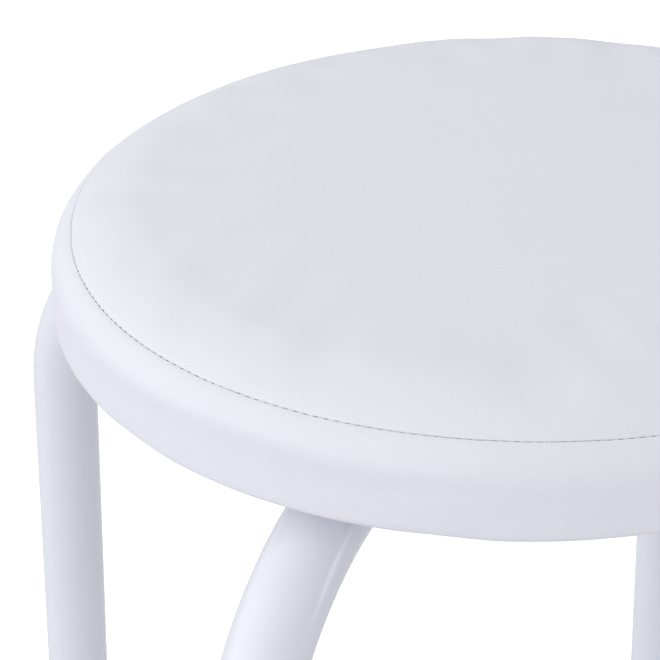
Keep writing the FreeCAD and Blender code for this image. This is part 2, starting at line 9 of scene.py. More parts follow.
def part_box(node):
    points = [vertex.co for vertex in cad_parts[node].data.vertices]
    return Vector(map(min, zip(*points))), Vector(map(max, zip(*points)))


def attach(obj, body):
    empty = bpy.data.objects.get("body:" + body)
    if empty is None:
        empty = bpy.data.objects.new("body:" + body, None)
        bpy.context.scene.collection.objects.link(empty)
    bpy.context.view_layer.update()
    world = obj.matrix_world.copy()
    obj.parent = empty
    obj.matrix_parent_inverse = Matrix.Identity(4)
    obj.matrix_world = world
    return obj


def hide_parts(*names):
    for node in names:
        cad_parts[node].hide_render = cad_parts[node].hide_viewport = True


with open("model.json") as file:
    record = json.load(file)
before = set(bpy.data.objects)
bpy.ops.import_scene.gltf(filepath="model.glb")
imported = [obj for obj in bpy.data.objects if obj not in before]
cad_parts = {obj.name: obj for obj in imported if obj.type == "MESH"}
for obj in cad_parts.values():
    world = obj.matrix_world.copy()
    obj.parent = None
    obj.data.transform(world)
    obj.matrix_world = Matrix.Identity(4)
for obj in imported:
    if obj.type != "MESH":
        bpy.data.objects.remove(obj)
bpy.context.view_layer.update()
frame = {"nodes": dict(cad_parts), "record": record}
nodes = frame["nodes"]

# Stool sizes, in metres, read from the frame where it holds them
MM = 0.001
PANEL_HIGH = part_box("top_panel")[1]
BAND_LOW, BAND_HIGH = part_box("side_band")
BOARD_LOW, BOARD_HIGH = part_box("seat_board")
CROWN_Z = PANEL_HIGH.z
SEAM_RADIUS = PANEL_HIGH.x
SEAT_RADIUS = BAND_HIGH.x
UNDERSIDE_Z = BAND_LOW.z
FLEECE_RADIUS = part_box("dust_cover")[1].x
CROWN_RISE = 5 * MM
SHOULDER_RISE = 10 * MM
SHOULDER_WIDTH = 25 * MM
SEAM_Z = CROWN_Z - CROWN_RISE - SHOULDER_RISE
WIDEST_Z = SEAM_Z - 12.5 * MM
EDGE_RADIUS = 2 * MM
HEM_RADIUS = 115 * MM
COVER_THICKNESS = 1 * MM
SCREW_REACH = 80 * MM
LEG_TURNS = [math.radians(turn) for turn in (45, 135, 225, 315)]
STITCH_PITCH = 3.2 * MM

# The camera that took the photograph: its place in metres, its turns in degrees and its lens in mm
CAMERA_PLACE = Vector((-0.23812, -0.58308, 0.73982))
CAMERA_YAW = 16.63
CAMERA_PITCH = 29.65
CAMERA_ROLL = -1.24
CAMERA_LENS = 112.96
SENSOR = 36.0


class Number:
    """A number or colour that changes over a surface. Arithmetic on it adds Math nodes."""

    def __init__(self, shading, socket):
        self.shading = shading
        self.socket = socket

    def math(self, operation, *values):
        return self.shading.add("ShaderNodeMath", {"operation": operation}, values)

    def __add__(self, other):
        return self.math("ADD", self, other)

    def __sub__(self, other):
        return self.math("SUBTRACT", self, other)

    def __rsub__(self, other):
        return self.math("SUBTRACT", other, self)

    def __mul__(self, other):
        return self.math("MULTIPLY", self, other)

    def __pow__(self, other):
        return self.math("POWER", self, other)

    __radd__ = __add__
    __rmul__ = __mul__

    def sine(self):
        return self.math("SINE", self)

    def between(self, low, high):
        """0 below low and 1 above high, smooth in between."""
        settings = {"interpolation_type": "SMOOTHSTEP"}
        return self.shading.add("ShaderNodeMapRange", settings, (self, low, high))


# Sockets of the Mix node that hold colours
FIRST_COLOUR = 6
SECOND_COLOUR = 7
MIXED_COLOUR = 2


def shade(colour, factor):
    """A colour made that many times as bright, with its alpha."""
    return tuple(min(channel * factor, 1.0) for channel in colour) + (1.0,)


class Shading:
    """A shader tree whose nodes are all added in one way."""

    def __init__(self, tree):
        self.tree = tree

    def give(self, socket, value):
        if isinstance(value, Number):
            self.tree.links.new(value.socket, socket)
        else:
            socket.default_value = value

    def add(self, kind, settings=None, inputs=(), output=0):
        node = self.tree.nodes.new(kind)
        for name, value in (settings or {}).items():
            setattr(node, name, value)
        pairs = inputs.items() if isinstance(inputs, dict) else enumerate(inputs)
        for key, value in pairs:
            self.give(node.inputs[key], value)
        return Number(self, node.outputs[output])


class Finish(Shading):
    """A material with one Principled shader, and the nodes that vary it over the surface."""

    def __init__(self, name, colour, roughness, **fixed):
        self.material = bpy.data.materials.new(name)
        self.material.use_nodes = True
        super().__init__(self.material.node_tree)
        self.shader = self.tree.nodes["Principled BSDF"]
        self.set("Base Color", (*colour, 1))
        self.set("Roughness", roughness)
        for socket, value in fixed.items():
            self.set(socket.replace("_", " "), value)
        self.place = self.add("ShaderNodeTexCoord", output="Object")
        self.relief = None

    def set(self, socket, value):
        self.give(self.shader.inputs[socket], value)

    def noise(self, size, detail=2.0, stretch=(1, 1, 1), shift=0.0):
        """Cloudy values about 0.5, with lumps of that size in metres."""
        inputs = {"Vector": self.stretched(stretch, shift), "Scale": 1 / size, "Detail": detail}
        return self.add("ShaderNodeTexNoise", None, inputs)

    def cells(self, size, feature="DISTANCE_TO_EDGE"):
        """Distance to the edge of the nearest cell, or to its middle, in cells of that size."""
        inputs = {"Vector": self.place, "Scale": 1 / size}
        return self.add("ShaderNodeTexVoronoi", {"feature": feature}, inputs)

    def stretched(self, stretch, shift):
        """The place on the piece, drawn out along the axes with the smallest numbers."""
        if stretch == (1, 1, 1) and not shift:
            return self.place
        inputs = {"Vector": self.place, "Scale": stretch, "Location": (shift, shift, shift)}
        return self.add("ShaderNodeMapping", None, inputs)

    def axes(self):
        split = self.add("ShaderNodeSeparateXYZ", None, (self.place,))
        outputs = split.socket.node.outputs
        return [Number(self, outputs[axis]) for axis in "XYZ"]

    def vary(self, factor, colour, low, high):
        """Makes the base colour run from low to high times that colour as the factor grows."""
        first, second = shade(colour, low), shade(colour, high)
        inputs = {"Factor": factor, FIRST_COLOUR: first, SECOND_COLOUR: second}
        mixed = self.add("ShaderNodeMix", {"data_type": "RGBA"}, inputs, output=MIXED_COLOUR)
        self.set("Base Color", mixed)

    def bump(self, height, depth):
        """Adds relief, whose height of 1 stands that many metres proud."""
        inputs = {"Height": height, "Distance": depth, "Strength": 1.0}
        if self.relief:
            inputs["Normal"] = self.relief
        self.relief = self.add("ShaderNodeBump", None, inputs)
        self.set("Normal", self.relief)


# Finishes. A noise's first number is the size of its lumps, and a bump's last one its depth.


def vinyl_finish():
    """White upholstery vinyl: pebbled grain, a soft sheen and puckers at the seam's stitches."""
    colour = (0.828, 0.826, 0.868)
    vinyl = Finish("white_vinyl", colour, 0.42, Coat_Weight=0.12, Coat_Roughness=0.35)
    cloudy = vinyl.noise(45 * MM, detail=3)
    vinyl.vary(cloudy, colour, low=0.985, high=1.01)
    pebbles = vinyl.cells(1.1 * MM)
    pores = vinyl.noise(0.35 * MM, detail=3)
    vinyl.set("Roughness", 0.36 + 0.10 * cloudy + 0.05 * pores)
    vinyl.bump(pebbles.between(0.0, 0.28), 0.035 * MM)
    vinyl.bump(pores, 0.02 * MM)
    x, y, z = vinyl.axes()
    stitches = x.math("ARCTAN2", y, x) * (SEAM_RADIUS / STITCH_PITCH)
    reach = x.math("SQRT", x * x + y * y)
    from_seam = x.math("SQRT", (reach - SEAM_RADIUS) ** 2 + (z - SEAM_Z) ** 2)
    near_seam = 1 - from_seam.between(0.5 * MM, 4 * MM)
    vinyl.bump(stitches.sine() * near_seam, 0.06 * MM)
    return vinyl.material


def thread_finish():
    """Polyester sewing thread with a fine twist."""
    thread = Finish("polyester_thread", (0.78, 0.79, 0.82), 0.6)
    twist = thread.noise(0.3 * MM, detail=1)
    thread.bump(twist, 0.05 * MM)
    return thread.material


def foam_finish():
    """Pale open-cell foam."""
    colour = (0.86, 0.80, 0.62)
    foam = Finish("seat_foam", colour, 0.95)
    pores = foam.cells(1.4 * MM, feature="F1")
    foam.vary(pores, colour, low=1.05, high=0.8)
    foam.bump(pores, 0.5 * MM)
    return foam.material


def plywood_finish():
    """Birch plywood: grain along X on its faces, and the plies on its edge."""
    colour = (0.62, 0.45, 0.27)
    wood = Finish("birch_plywood", colour, 0.62)
    grain = wood.noise(3 * MM, detail=4, stretch=(0.06, 1, 1))
    pores = wood.noise(0.7 * MM, detail=2, stretch=(0.05, 1, 1), shift=3.0)
    z = wood.axes()[2]
    ply_thickness = 1.5 * MM
    plies = ((z - BOARD_LOW.z) * (math.pi / ply_thickness)).sine() * 0.5 + 0.5
    wood.vary(grain * 0.7 + plies * 0.3, colour, low=0.8, high=1.25)
    wood.set("Roughness", 0.55 + 0.2 * pores)
    wood.bump(pores, 0.1 * MM)
    return wood.material


def fleece_finish():
    """Black non-woven fleece, point-bonded, with loose fibres."""
    colour = (0.018, 0.018, 0.02)
    fleece = Finish("dust_cover_fleece", colour, 0.92, Sheen_Weight=0.25, Sheen_Roughness=0.5)
    fibres = fleece.noise(0.5 * MM, detail=4, stretch=(1, 0.25, 1))
    across = fleece.noise(0.5 * MM, detail=4, stretch=(0.25, 1, 1), shift=5.0)
    bonds = 1 - fleece.cells(1.6 * MM, feature="F1").between(0.2, 0.45)
    felt = fibres * 0.5 + across * 0.5
    fleece.vary(felt, colour, low=0.5, high=2.6)
    fleece.bump(felt - bonds * 0.6, 0.15 * MM)
    return fleece.material


def powder_coat_finish():
    """Glossy white powder coat with a faint orange peel."""
    colour = (0.804, 0.823, 0.867)
    coat = Finish("white_powder_coat", colour, 0.2, Coat_Weight=0.6, Coat_Roughness=0.08)
    peel = coat.noise(2.2 * MM, detail=1)
    fine = coat.noise(0.8 * MM, detail=1, shift=2.0)
    broad = coat.noise(60 * MM, detail=2, shift=4.0)
    coat.vary(broad, colour, low=0.985, high=1.01)
    coat.set("Roughness", 0.16 + 0.08 * broad)
    coat.bump(peel, 0.03 * MM)
    coat.bump(fine, 0.008 * MM)
    return coat.material


def zinc_finish(name, colour, roughness):
    """Bright plated steel, with a slight bloom."""
    zinc = Finish(name, colour, roughness, Metallic=1.0)
    bloom = zinc.noise(4 * MM, detail=4)
    scratches = zinc.noise(0.25 * MM, detail=2, stretch=(1, 0.1, 1))
    zinc.vary(bloom, colour, low=0.86, high=1.08)
    zinc.set("Roughness", roughness - 0.06 + 0.14 * bloom)
    zinc.bump(scratches, 0.01 * MM)
    return zinc.material


def nylon_finish():
    """White moulded nylon with a matt skin."""
    nylon = Finish("white_nylon", (0.76, 0.76, 0.77), 0.5)
    matt = nylon.noise(0.6 * MM, detail=2)
    nylon.set("Roughness", 0.42 + 0.14 * matt)
    nylon.bump(matt, 0.02 * MM)
    return nylon.material


def rubber_finish():
    """Pale rubber, darker in clouds towards the bottom, over its lowest 7 mm."""
    colour = (0.62, 0.64, 0.67)
    rubber = Finish("pale_rubber", colour, 0.6)
    z = rubber.axes()[2]
    cloudy = rubber.noise(6 * MM, detail=4)
    # Darker in clouds towards the bottom, fading out 7 mm above the floor
    cloudy_base = (1 - z.between(0.0, 7 * MM)) * cloudy
    rubber.vary(cloudy_base, colour, low=1.0, high=0.55)
    rubber.set("Roughness", 0.5 + 0.25 * cloudy)
    rubber.bump(rubber.noise(0.5 * MM, detail=2), 0.03 * MM)
    return rubber.material


VINYL = vinyl_finish()
THREAD = thread_finish()
FOAM = foam_finish()
PLYWOOD = plywood_finish()
FLEECE = fleece_finish()
POWDER_COAT = powder_coat_finish()
ZINC = zinc_finish("bright_zinc", (0.62, 0.63, 0.66), 0.32)
STAPLE_WIRE = zinc_finish("galvanised_wire", (0.66, 0.66, 0.68), 0.38)
NYLON = nylon_finish()
RUBBER = rubber_finish()

SLOT_FINISHES = {
    "vinyl": VINYL,
    "foam": FOAM,
    "plywood": PLYWOOD,
    "fleece": FLEECE,
    "staple_wire": STAPLE_WIRE,
    "powder_coat": POWDER_COAT,
    "zinc": ZINC,
    "spacer_plastic": NYLON,
    "cap_rubber": RUBBER,
}


def dress_frame():
    """Gives each piece of the frame the finish of its slot."""
    for part in frame["record"]["subparts"]:
        piece = nodes[part["node"]]
        piece.data.materials.clear()
        piece.data.materials.append(SLOT_FINISHES[part["material_slot"]])


# Seat cover: a section of arcs, measured along itself from the seam, inwards negative

CROWN_REACH = SEAM_RADIUS - SHOULDER_WIDTH
CROWN_ARC = (CROWN_REACH**2 + CROWN_RISE**2) / (2 * CROWN_RISE)
CROWN_LEAN = math.asin(CROWN_REACH / CROWN_ARC)
SHOULDER_ARC = (SHOULDER_WIDTH**2 + SHOULDER_RISE**2) / (
    2 * (SHOULDER_RISE * math.cos(CROWN_LEAN) - SHOULDER_WIDTH * math.sin(CROWN_LEAN))
)
SHOULDER_X = CROWN_REACH - SHOULDER_ARC * math.sin(CROWN_LEAN)
SHOULDER_Z = SEAM_Z + SHOULDER_RISE - SHOULDER_ARC * math.cos(CROWN_LEAN)
SEAM_LEAN = math.asin((SEAM_RADIUS - SHOULDER_X) / SHOULDER_ARC)
SHOULDER_LENGTH = SHOULDER_ARC * (SEAM_LEAN - CROWN_LEAN)
CROWN_LENGTH = CROWN_ARC * CROWN_LEAN
BAND_WIDTH = SEAT_RADIUS - SEAM_RADIUS
BAND_ARC = (BAND_WIDTH**2 + (SEAM_Z - WIDEST_Z) ** 2) / (2 * BAND_WIDTH)
BAND_RISE = math.asin((SEAM_Z - WIDEST_Z) / BAND_ARC)
BAND_LENGTH = BAND_ARC * BAND_RISE
UPRIGHT_LENGTH = WIDEST_Z - UNDERSIDE_Z - EDGE_RADIUS
EDGE_LENGTH = EDGE_RADIUS * math.pi / 2
EDGE_END = BAND_LENGTH + UPRIGHT_LENGTH + EDGE_LENGTH
HEM_LENGTH = SEAT_RADIUS - EDGE_RADIUS - HEM_RADIUS


def section(along):
    """Reach, height and outward direction of the cover at a distance along it from the seam."""
    if along < -SHOULDER_LENGTH:
        lean = (along + SHOULDER_LENGTH + CROWN_LENGTH) / CROWN_ARC
        out = (math.sin(lean), math.cos(lean))
        return CROWN_ARC * out[0], CROWN_Z - CROWN_ARC * (1 - out[1]), *out
    if along < 0:
        lean = SEAM_LEAN + along / SHOULDER_ARC
        out = (math.sin(lean), math.cos(lean))
        return SHOULDER_X + SHOULDER_ARC * out[0], SHOULDER_Z + SHOULDER_ARC * out[1], *out
    if along < BAND_LENGTH:
        rise = BAND_RISE - along / BAND_ARC
        out = (math.cos(rise), math.sin(rise))
        return SEAT_RADIUS - BAND_ARC * (1 - out[0]), WIDEST_Z + BAND_ARC * out[1], *out
    below = along - BAND_LENGTH
    if below < UPRIGHT_LENGTH:
        return SEAT_RADIUS, WIDEST_Z - below, 1.0, 0.0
    if along < EDGE_END:
        drop = (below - UPRIGHT_LENGTH) / EDGE_RADIUS
        out = (math.cos(drop), -math.sin(drop))
        reach = SEAT_RADIUS - EDGE_RADIUS * (1 - out[0])
        return reach, UNDERSIDE_Z + EDGE_RADIUS * (1 + out[1]), *out
    return SEAT_RADIUS - EDGE_RADIUS - (along - EDGE_END), UNDERSIDE_Z, 0.0, -1.0


def spread(start, end, step):
    """Numbers from start to end, about a step apart."""
    count = max(1, round(abs(end - start) / step))
    return list(np.linspace(start, end, count + 1))


def ring_grid(stations, segments):
    """Points of the cover, [station, segment, xyz], and their outward directions."""
    rows = np.array([section(along) for along in stations])
    turns = np.linspace(0, 2 * math.pi, segments, endpoint=False)
    around = np.stack([np.cos(turns), np.sin(turns)], axis=-1)
    flat = rows[:, None, :1] * around[None]
    each = (*flat.shape[:2], 1)
    points = np.concatenate([flat, np.broadcast_to(rows[:, None, 1:2], each)], -1)
    level = rows[:, None, 2:3] * around[None]
    out = np.concatenate([level, np.broadcast_to(rows[:, None, 3:4], each)], -1)
    return points, out


def ring_faces(rings, segments):
    """Quads between rings that run outwards and down, with their front outwards."""
    ring = np.arange(rings - 1)[:, None] * segments
    here = np.arange(segments)[None]
    ahead = (here + 1) % segments
    corners = [ring + here, ring + segments + here, ring + segments + ahead, ring + ahead]
    return np.stack(corners, axis=-1).reshape(-1, 4).tolist()


def fan(centre, first, segments):
    """Triangles between a point in the middle and the ring that starts at first, front up."""
    return [(centre, first + i, first + (i + 1) % segments) for i in range(segments)]


def new_piece(name, points, faces, material, smooth=True):
    mesh = bpy.data.meshes.new(name)
    mesh.from_pydata([tuple(p) for p in points], [], faces)
    mesh.materials.append(material)
    mesh.polygons.foreach_set("use_smooth", [smooth] * len(mesh.polygons))
    mesh.update()
    piece = bpy.data.objects.new(name, mesh)
    bpy.context.scene.collection.objects.link(piece)
    return piece


# Pressure swells the cover between its seam and its stapled hem, and makes it ripple

SWELL_SEGMENTS = 200
SWELL_STEP = 4 * MM
SWELL_FRAMES = 22
SWELL_CAP = 2.5 * MM
SPARE_CLOTH = 0.006
FINEST_RIPPLE = 40
RIPPLE_CAP = 0.5 * MM
RIPPLE_SMOOTHINGS = 2


def swell():
    """Stations, and how far each point of a coarse cover moved outwards."""
    inner = -(SHOULDER_LENGTH + CROWN_LENGTH) + SWELL_STEP
    stations = spread(inner, 0, SWELL_STEP) + spread(0, EDGE_END, SWELL_STEP)[1:]
    stations += spread(EDGE_END, EDGE_END + 3 * SWELL_STEP, SWELL_STEP)[1:]
    points, out = ring_grid(stations, SWELL_SEGMENTS)
    rings = len(stations)
    faces = ring_faces(rings, SWELL_SEGMENTS) + fan(rings * SWELL_SEGMENTS, 0, SWELL_SEGMENTS)
    every = np.concatenate([points.reshape(-1, 3), [[0, 0, CROWN_Z]]])
    cloth = new_piece("swelling_cover", every, faces, VINYL)
    held = cloth.vertex_groups.new(name="held")
    for number, along in enumerate(stations):
        first = number * SWELL_SEGMENTS
        if along == 0 or number == rings - 1:
            held.add(list(range(first, first + SWELL_SEGMENTS)), 1.0, "REPLACE")
    modifier = cloth.modifiers.new("swell", "CLOTH")
    settings = modifier.settings
    settings.quality = 6
    settings.mass = 0.3
    settings.tension_stiffness = 25
    settings.compression_stiffness = 25
    settings.shear_stiffness = 10
    settings.bending_stiffness = 2.0
    settings.use_pressure = True
    settings.uniform_pressure_force = 1.2
    settings.shrink_min = -SPARE_CLOTH
    settings.vertex_group_mass = "held"
    settings.effector_weights.gravity = 0
    modifier.point_cache.frame_end = SWELL_FRAMES
    for number in range(1, SWELL_FRAMES + 1):
        bpy.context.scene.frame_set(number)
    shown = cloth.evaluated_get(bpy.context.evaluated_depsgraph_get())
    moved = np.empty(len(every) * 3)
    shown.data.vertices.foreach_get("co", moved)
    bpy.context.scene.frame_set(1)
    bpy.data.objects.remove(cloth)
    moved = moved.reshape(-1, 3)[:-1].reshape(points.shape)
    outwards = np.clip(((moved - points) * out).sum(-1), -SWELL_CAP, SWELL_CAP)
    return np.array(stations), even_ripples(outwards)


def even_ripples(outwards):
    """The swell without its mean round the seat, which the sizes already hold, or its crinkles."""
    ripples = np.fft.rfft(outwards, axis=1)
    ripples[:, 0] = 0
    ripples[:, FINEST_RIPPLE:] = 0
    level = np.fft.irfft(ripples, SWELL_SEGMENTS, axis=1)
    for _ in range(RIPPLE_SMOOTHINGS):
        level[1:-1] = (level[:-2] + 2 * level[1:-1] + level[2:]) / 4
    return np.clip(level, -RIPPLE_CAP, RIPPLE_CAP)


# Unevenness of the cover

SEGMENTS = 320
CROWN_STEP = 5 * MM
SHOULDER_STEP = 2 * MM
BAND_STEP = 1.8 * MM
EDGE_STEP = 1 * MM
UNDERSIDE_STEP = 3 * MM
ROLL_RADIUS = 0.32 * MM
SEAM_GAP = 0.06 * MM
SEAM_DEPTH = 1.3 * MM
PUFF = 0.3 * MM
PUFF_REACH = 5 * MM
RIDGE_DROP = 10 * MM
PLEATS = 72
PLEAT_DEPTH = 0.54 * MM
MEAN_FOLD = 0.4

# Low waves round the seat, outwards, upwards and on the shoulder's height:
# {waves in a round: (cosine, sine)}, in millimetres
OVAL = {2: (-0.13, 0.54), 3: (0.01, 0.02), 4: (-0.18, 0.52)}
TWIST = {1: (-0.26, -0.39), 2: (0.86, 0.72), 3: (0.08, 0.12)}
SHOULDERS = {0: (-0.4, 0.0), 1: (0.14, -0.18), 2: (0.07, 0.25), 3: (-0.3, -0.1)}


def seam_relief(along):
    """Depth of a rolled edge at the seam, less the swelling beside it."""
    distance = abs(along)
    inside = max(ROLL_RADIUS + SEAM_GAP - distance, 0)
    depth = ROLL_RADIUS - math.sqrt(max(ROLL_RADIUS**2 - inside**2, 0))
    share = distance / PUFF_REACH
    return PUFF * share * math.exp(1 - share) - depth


def sway(x, y, z, size, seed):
    """Smooth noise from about -1 to 1, with lumps of that size."""
    return noise.noise(Vector((x / size + seed, y / size - seed, z / size)))


def waves(turn, sizes):
    """The sum at one turn of a table of waves round the seat."""
    return MM * sum(c * math.cos(n * turn) + s * math.sin(n * turn) for n, (c, s) in sizes.items())


def out_of_true(point):
    """How far the seat departs from a perfect round at a point, faded out towards the board."""
    turn = math.atan2(point[1], point[0])
    reach = math.hypot(point[0], point[1])
    share = (reach / SEAM_RADIUS) ** 2
    above_board = min(max((point[2] - BOARD_HIGH.z) / (8 * MM), 0), 1)
    wider = waves(turn, OVAL) * share * above_board
    higher = waves(turn, TWIST) * share * above_board
    if reach < SEAM_RADIUS and point[2] > SEAM_Z:
        from_seam = min((SEAM_RADIUS - reach) / (12 * MM), 1)
        higher += waves(turn, SHOULDERS) * share * from_seam
    return np.array([wider * math.cos(turn), wider * math.sin(turn), higher])


def bell(distance, width):
    return math.exp(-((distance / width) ** 2))


def hand_work(point, along, turn):
    """Unevenness of hand upholstery: lumpy foam, tension at the seam, a ridge along the band."""
    lumps = 0.35 * MM * sway(*point, 55 * MM, seed=3.1)
    tension = 0.22 * MM * bell(along, 9 * MM) * sway(*point, 11 * MM, seed=7.7)
    return lumps + tension + band_ridge(point, along) + hem_pleats(point, along, turn)


def band_ridge(point, along):
    """A soft ridge near the top of the band, the slack below it, and small wrinkles."""
    if along <= 0:
        return 0
    x, y, z = point
    middle = RIDGE_DROP + 2 * MM * sway(x, y, 0, 40 * MM, seed=1.3)
    strength = max(0.15, 0.55 + 0.8 * sway(x, y, 0, 60 * MM, seed=9.2))
    ridge = 0.42 * MM * bell(along - middle, 3.2 * MM)
    slack = 0.22 * MM * bell(along - middle - 6 * MM, 3 * MM)
    across = math.sin(min(along / (BAND_LENGTH + UPRIGHT_LENGTH), 1.0) * math.pi)
    wrinkles = 0.25 * MM * across * sway(x, y, z * 3, 16 * MM, seed=5.5)
    return strength * (ridge - slack) + wrinkles


def hem_pleats(point, along, turn):
    """Small folds where the cover is drawn in under the board."""
    start = EDGE_END - 2 * MM
    if along <= start:
        return 0
    under = min((along - start) / (18 * MM), 1.0)
    wander = 1.7 * sway(point[0], point[1], 0, 50 * MM, seed=2.2)
    fold = abs(math.sin(turn * PLEATS / 2 + wander)) ** 3
    return PLEAT_DEPTH * under * (fold - MEAN_FOLD)


def cover_points(stations, swelling):
    """The cover's points at the stations, with its swelling, seam and unevenness."""
    points, out = ring_grid(stations, SEGMENTS)
    known, swollen = swelling
    turns = np.linspace(0, 2 * math.pi, SEGMENTS, endpoint=False)
    coarse = np.linspace(0, 2 * math.pi, SWELL_SEGMENTS + 1)
    closed = np.concatenate([swollen, swollen[:, :1]], axis=1)
    around = np.array([np.interp(turns, coarse, row) for row in closed])
    for number, along in enumerate(stations):
        for k, turn in enumerate(turns):
            lift = np.interp(along, known, around[:, k], right=0.0) + seam_relief(along)
            lift += hand_work(points[number, k], along, turn)
            points[number, k] += out[number, k] * lift
            points[number, k] += out_of_true(points[number, k])
    return points


def roll_stations(side):
    """Stations over one rolled edge of the seam, from the seam outwards."""
    turns = [math.radians(degrees) for degrees in (90, 66, 44, 22, 0)]
    return [side * (SEAM_GAP + ROLL_RADIUS * (1 - math.sin(turn))) for turn in turns]


def sewn_edge(points, along):
    """The edge of a panel, turned down into the seam."""
    out = np.array(section(along)[2:])
    ring = points.copy()
    ring[:, :2] *= 1 - SEAM_DEPTH * out[0] / np.hypot(ring[:, :1], ring[:, 1:2])
    ring[:, 2] -= SEAM_DEPTH * out[1]
    return ring[None]


def finish_cover(piece, node):
    """Gives the cover its thickness and joins it to the frame in its node's place."""
    thick = piece.modifiers.new("thick", "SOLIDIFY")
    thick.thickness = COVER_THICKNESS
    thick.offset = -1
    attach(piece, "root")
    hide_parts(node)


def seat_cover():
    """The crowned top panel and the side band, sewn together and drawn under the board."""
    swelling = swell()
    inner = -(SHOULDER_LENGTH + CROWN_LENGTH) + 2 * MM
    top = spread(inner, -SHOULDER_LENGTH, CROWN_STEP)
    top += spread(-SHOULDER_LENGTH, -BAND_STEP, SHOULDER_STEP)[1:] + roll_stations(-1)[::-1]
    points = cover_points(top, swelling)
    points = np.concatenate([points, sewn_edge(points[-1], -SEAM_GAP)]).reshape(-1, 3)
    middle = (0, 0, points[:SEGMENTS, 2].mean())
    faces = ring_faces(len(top) + 1, SEGMENTS) + fan(len(points), 0, SEGMENTS)
    panel = new_piece("seat_top_panel", [*points, middle], faces, VINYL)
    finish_cover(panel, "top_panel")
    side = roll_stations(1) + spread(BAND_STEP, EDGE_END - EDGE_LENGTH, BAND_STEP)
    side += spread(EDGE_END - EDGE_LENGTH, EDGE_END, EDGE_STEP)[1:]
    side += spread(EDGE_END, EDGE_END + HEM_LENGTH, UNDERSIDE_STEP)[1:]
    points = cover_points(side, swelling)
    points = np.concatenate([sewn_edge(points[0], SEAM_GAP), points]).reshape(-1, 3)
    band = new_piece("seat_side_band", points, ring_faces(len(side) + 1, SEGMENTS), VINYL)
    finish_cover(band, "side_band")


def seat_foam():
    """The foam pad inside the cover, a little smaller than it."""
    inset = 3 * MM
    bottom = BOARD_HIGH.z + 0.3 * MM
    inner = -(SHOULDER_LENGTH + CROWN_LENGTH) + 4 * MM
    stations = spread(inner, 0, 6 * MM) + spread(0, BAND_LENGTH - 3 * MM, 4 * MM)[1:]
    segments = 96
    points, out = ring_grid(stations, segments)
    points -= out * inset
    base = points[-1].copy()
    base[:, 2] = bottom
    points = np.concatenate([points, base[None]]).reshape(-1, 3)
    ends = [(0, 0, CROWN_Z - inset), (0, 0, bottom)]
    under = fan(len(points) + 1, len(points) - segments, segments)
    faces = ring_faces(len(stations) + 1, segments) + fan(len(points), 0, segments)
    faces += [face[::-1] for face in under]
    foam = new_piece("foam_pad", [*points, *ends], faces, FOAM)
    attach(foam, "root")
    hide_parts("seat_foam")


# Geometry Nodes


class Grower:
    """A Geometry Nodes tree with named inputs, made a plain mesh."""

    def __init__(self, name):
        self.tree = bpy.data.node_groups.new(name, "GeometryNodeTree")
        self.socket("Geometry", "OUTPUT", "Geometry")
        self.sizes = {}
        self.group = self.tree.nodes.new("NodeGroupInput")

    def socket(self, name, side, kind):
        sockets = self.tree.interface
        return sockets.new_socket(name, in_out=side, socket_type="NodeSocket" + kind)

    def size(self, name, value, kind="Float"):
        """A named input of the tree."""
        self.sizes[self.socket(name, "INPUT", kind).identifier] = value
        return self.group.outputs[name]

    def add(self, kind, settings=None, inputs=None, output=0):
        node = self.tree.nodes.new(kind)
        for name, value in (settings or {}).items():
            setattr(node, name, value)
        for key, value in (inputs or {}).items():
            if isinstance(value, bpy.types.NodeSocket):
                self.tree.links.new(value, node.inputs[key])
            else:
                node.inputs[key].default_value = value
        return node.outputs[output]

    def grow(self, name, shape, material):
        """Realizes the shape, gives it its material and returns it as a plain piece."""
        real = self.add("GeometryNodeRealizeInstances", None, {0: shape})
        smooth = self.add("GeometryNodeSetShadeSmooth", None, {0: real})
        painted = self.add("GeometryNodeSetMaterial", None, {0: smooth, "Material": material})
        result = self.tree.nodes.new("NodeGroupOutput")
        self.tree.links.new(painted, result.inputs[0])
        seed = new_piece(name + "_seed", [(0, 0, 0)], [], material)
        modifier = seed.modifiers.new("grow", "NODES")
        modifier.node_group = self.tree
        for identifier, value in self.sizes.items():
            modifier[identifier] = value
        bpy.context.view_layer.update()
        shown = seed.evaluated_get(bpy.context.evaluated_depsgraph_get())
        mesh = bpy.data.meshes.new_from_object(shown)
        bpy.data.objects.remove(seed)
        piece = bpy.data.objects.new(name, mesh)
        bpy.context.scene.collection.objects.link(piece)
        return piece


